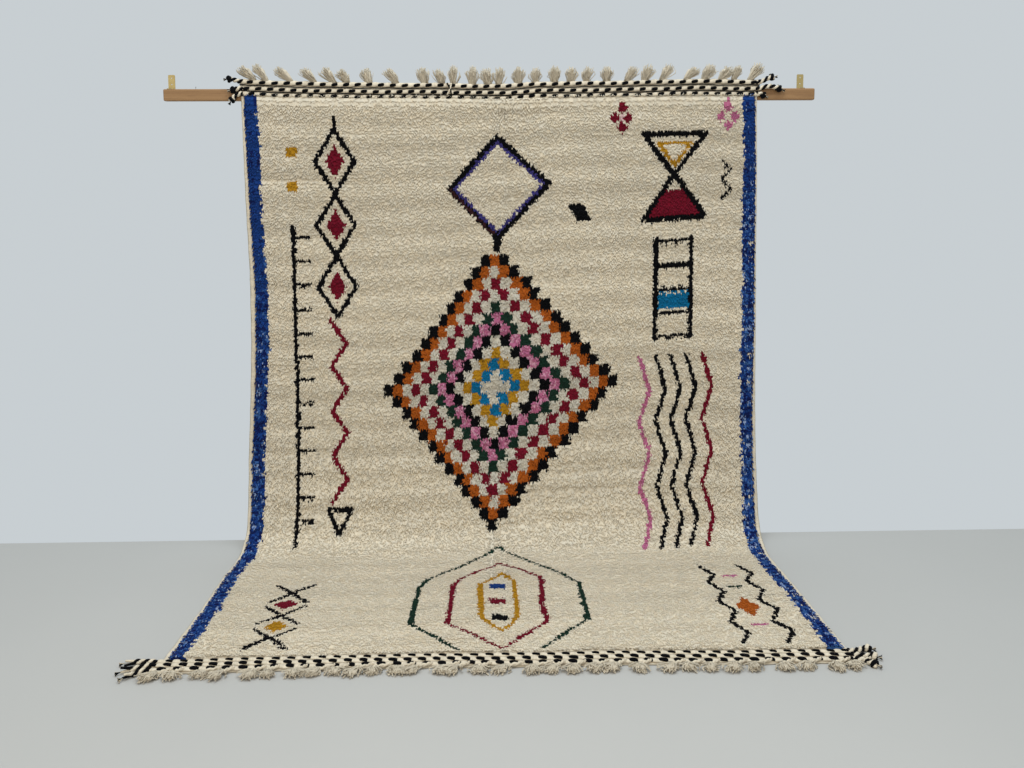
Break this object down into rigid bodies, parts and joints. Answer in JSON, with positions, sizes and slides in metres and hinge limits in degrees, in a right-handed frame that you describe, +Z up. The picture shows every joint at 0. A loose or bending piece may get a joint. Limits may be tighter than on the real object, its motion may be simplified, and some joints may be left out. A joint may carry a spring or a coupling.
{
  "type": "moroccan rug on wooden batten",
  "caption": "Thick wool pile rug with twined, tasselled ends, hung from a wooden batten on brass angle brackets and lying forwards on the floor.",
  "frame": {"origin": "middle of the batten's back face, on the wall plane", "axes": "+X along the batten to the right seen from the front, -Y out of the wall towards the viewer, +Z up"},
  "size_m": [2.525, 1.0439, 1.9084],
  "materials": {
    "wool_pile": "matt ivory wool pile with coloured wool motifs and blue side stripes",
    "wool_yarn": "matt spun wool yarn, ivory and black, twined",
    "wood": "oiled wood with fine straight grain",
    "brass": "pale brass plate, satin",
    "screw_steel": "plain steel, satin"
  },
  "bodies": {
    "root": {"rug": "wool_pile", "top_fringe": "wool_yarn", "bottom_fringe": "wool_yarn", "batten": "wood", "bracket_left": "brass", "bracket_right": "brass", "screw_left": "screw_steel", "screw_right": "screw_steel"}
  },
  "joints": []
}
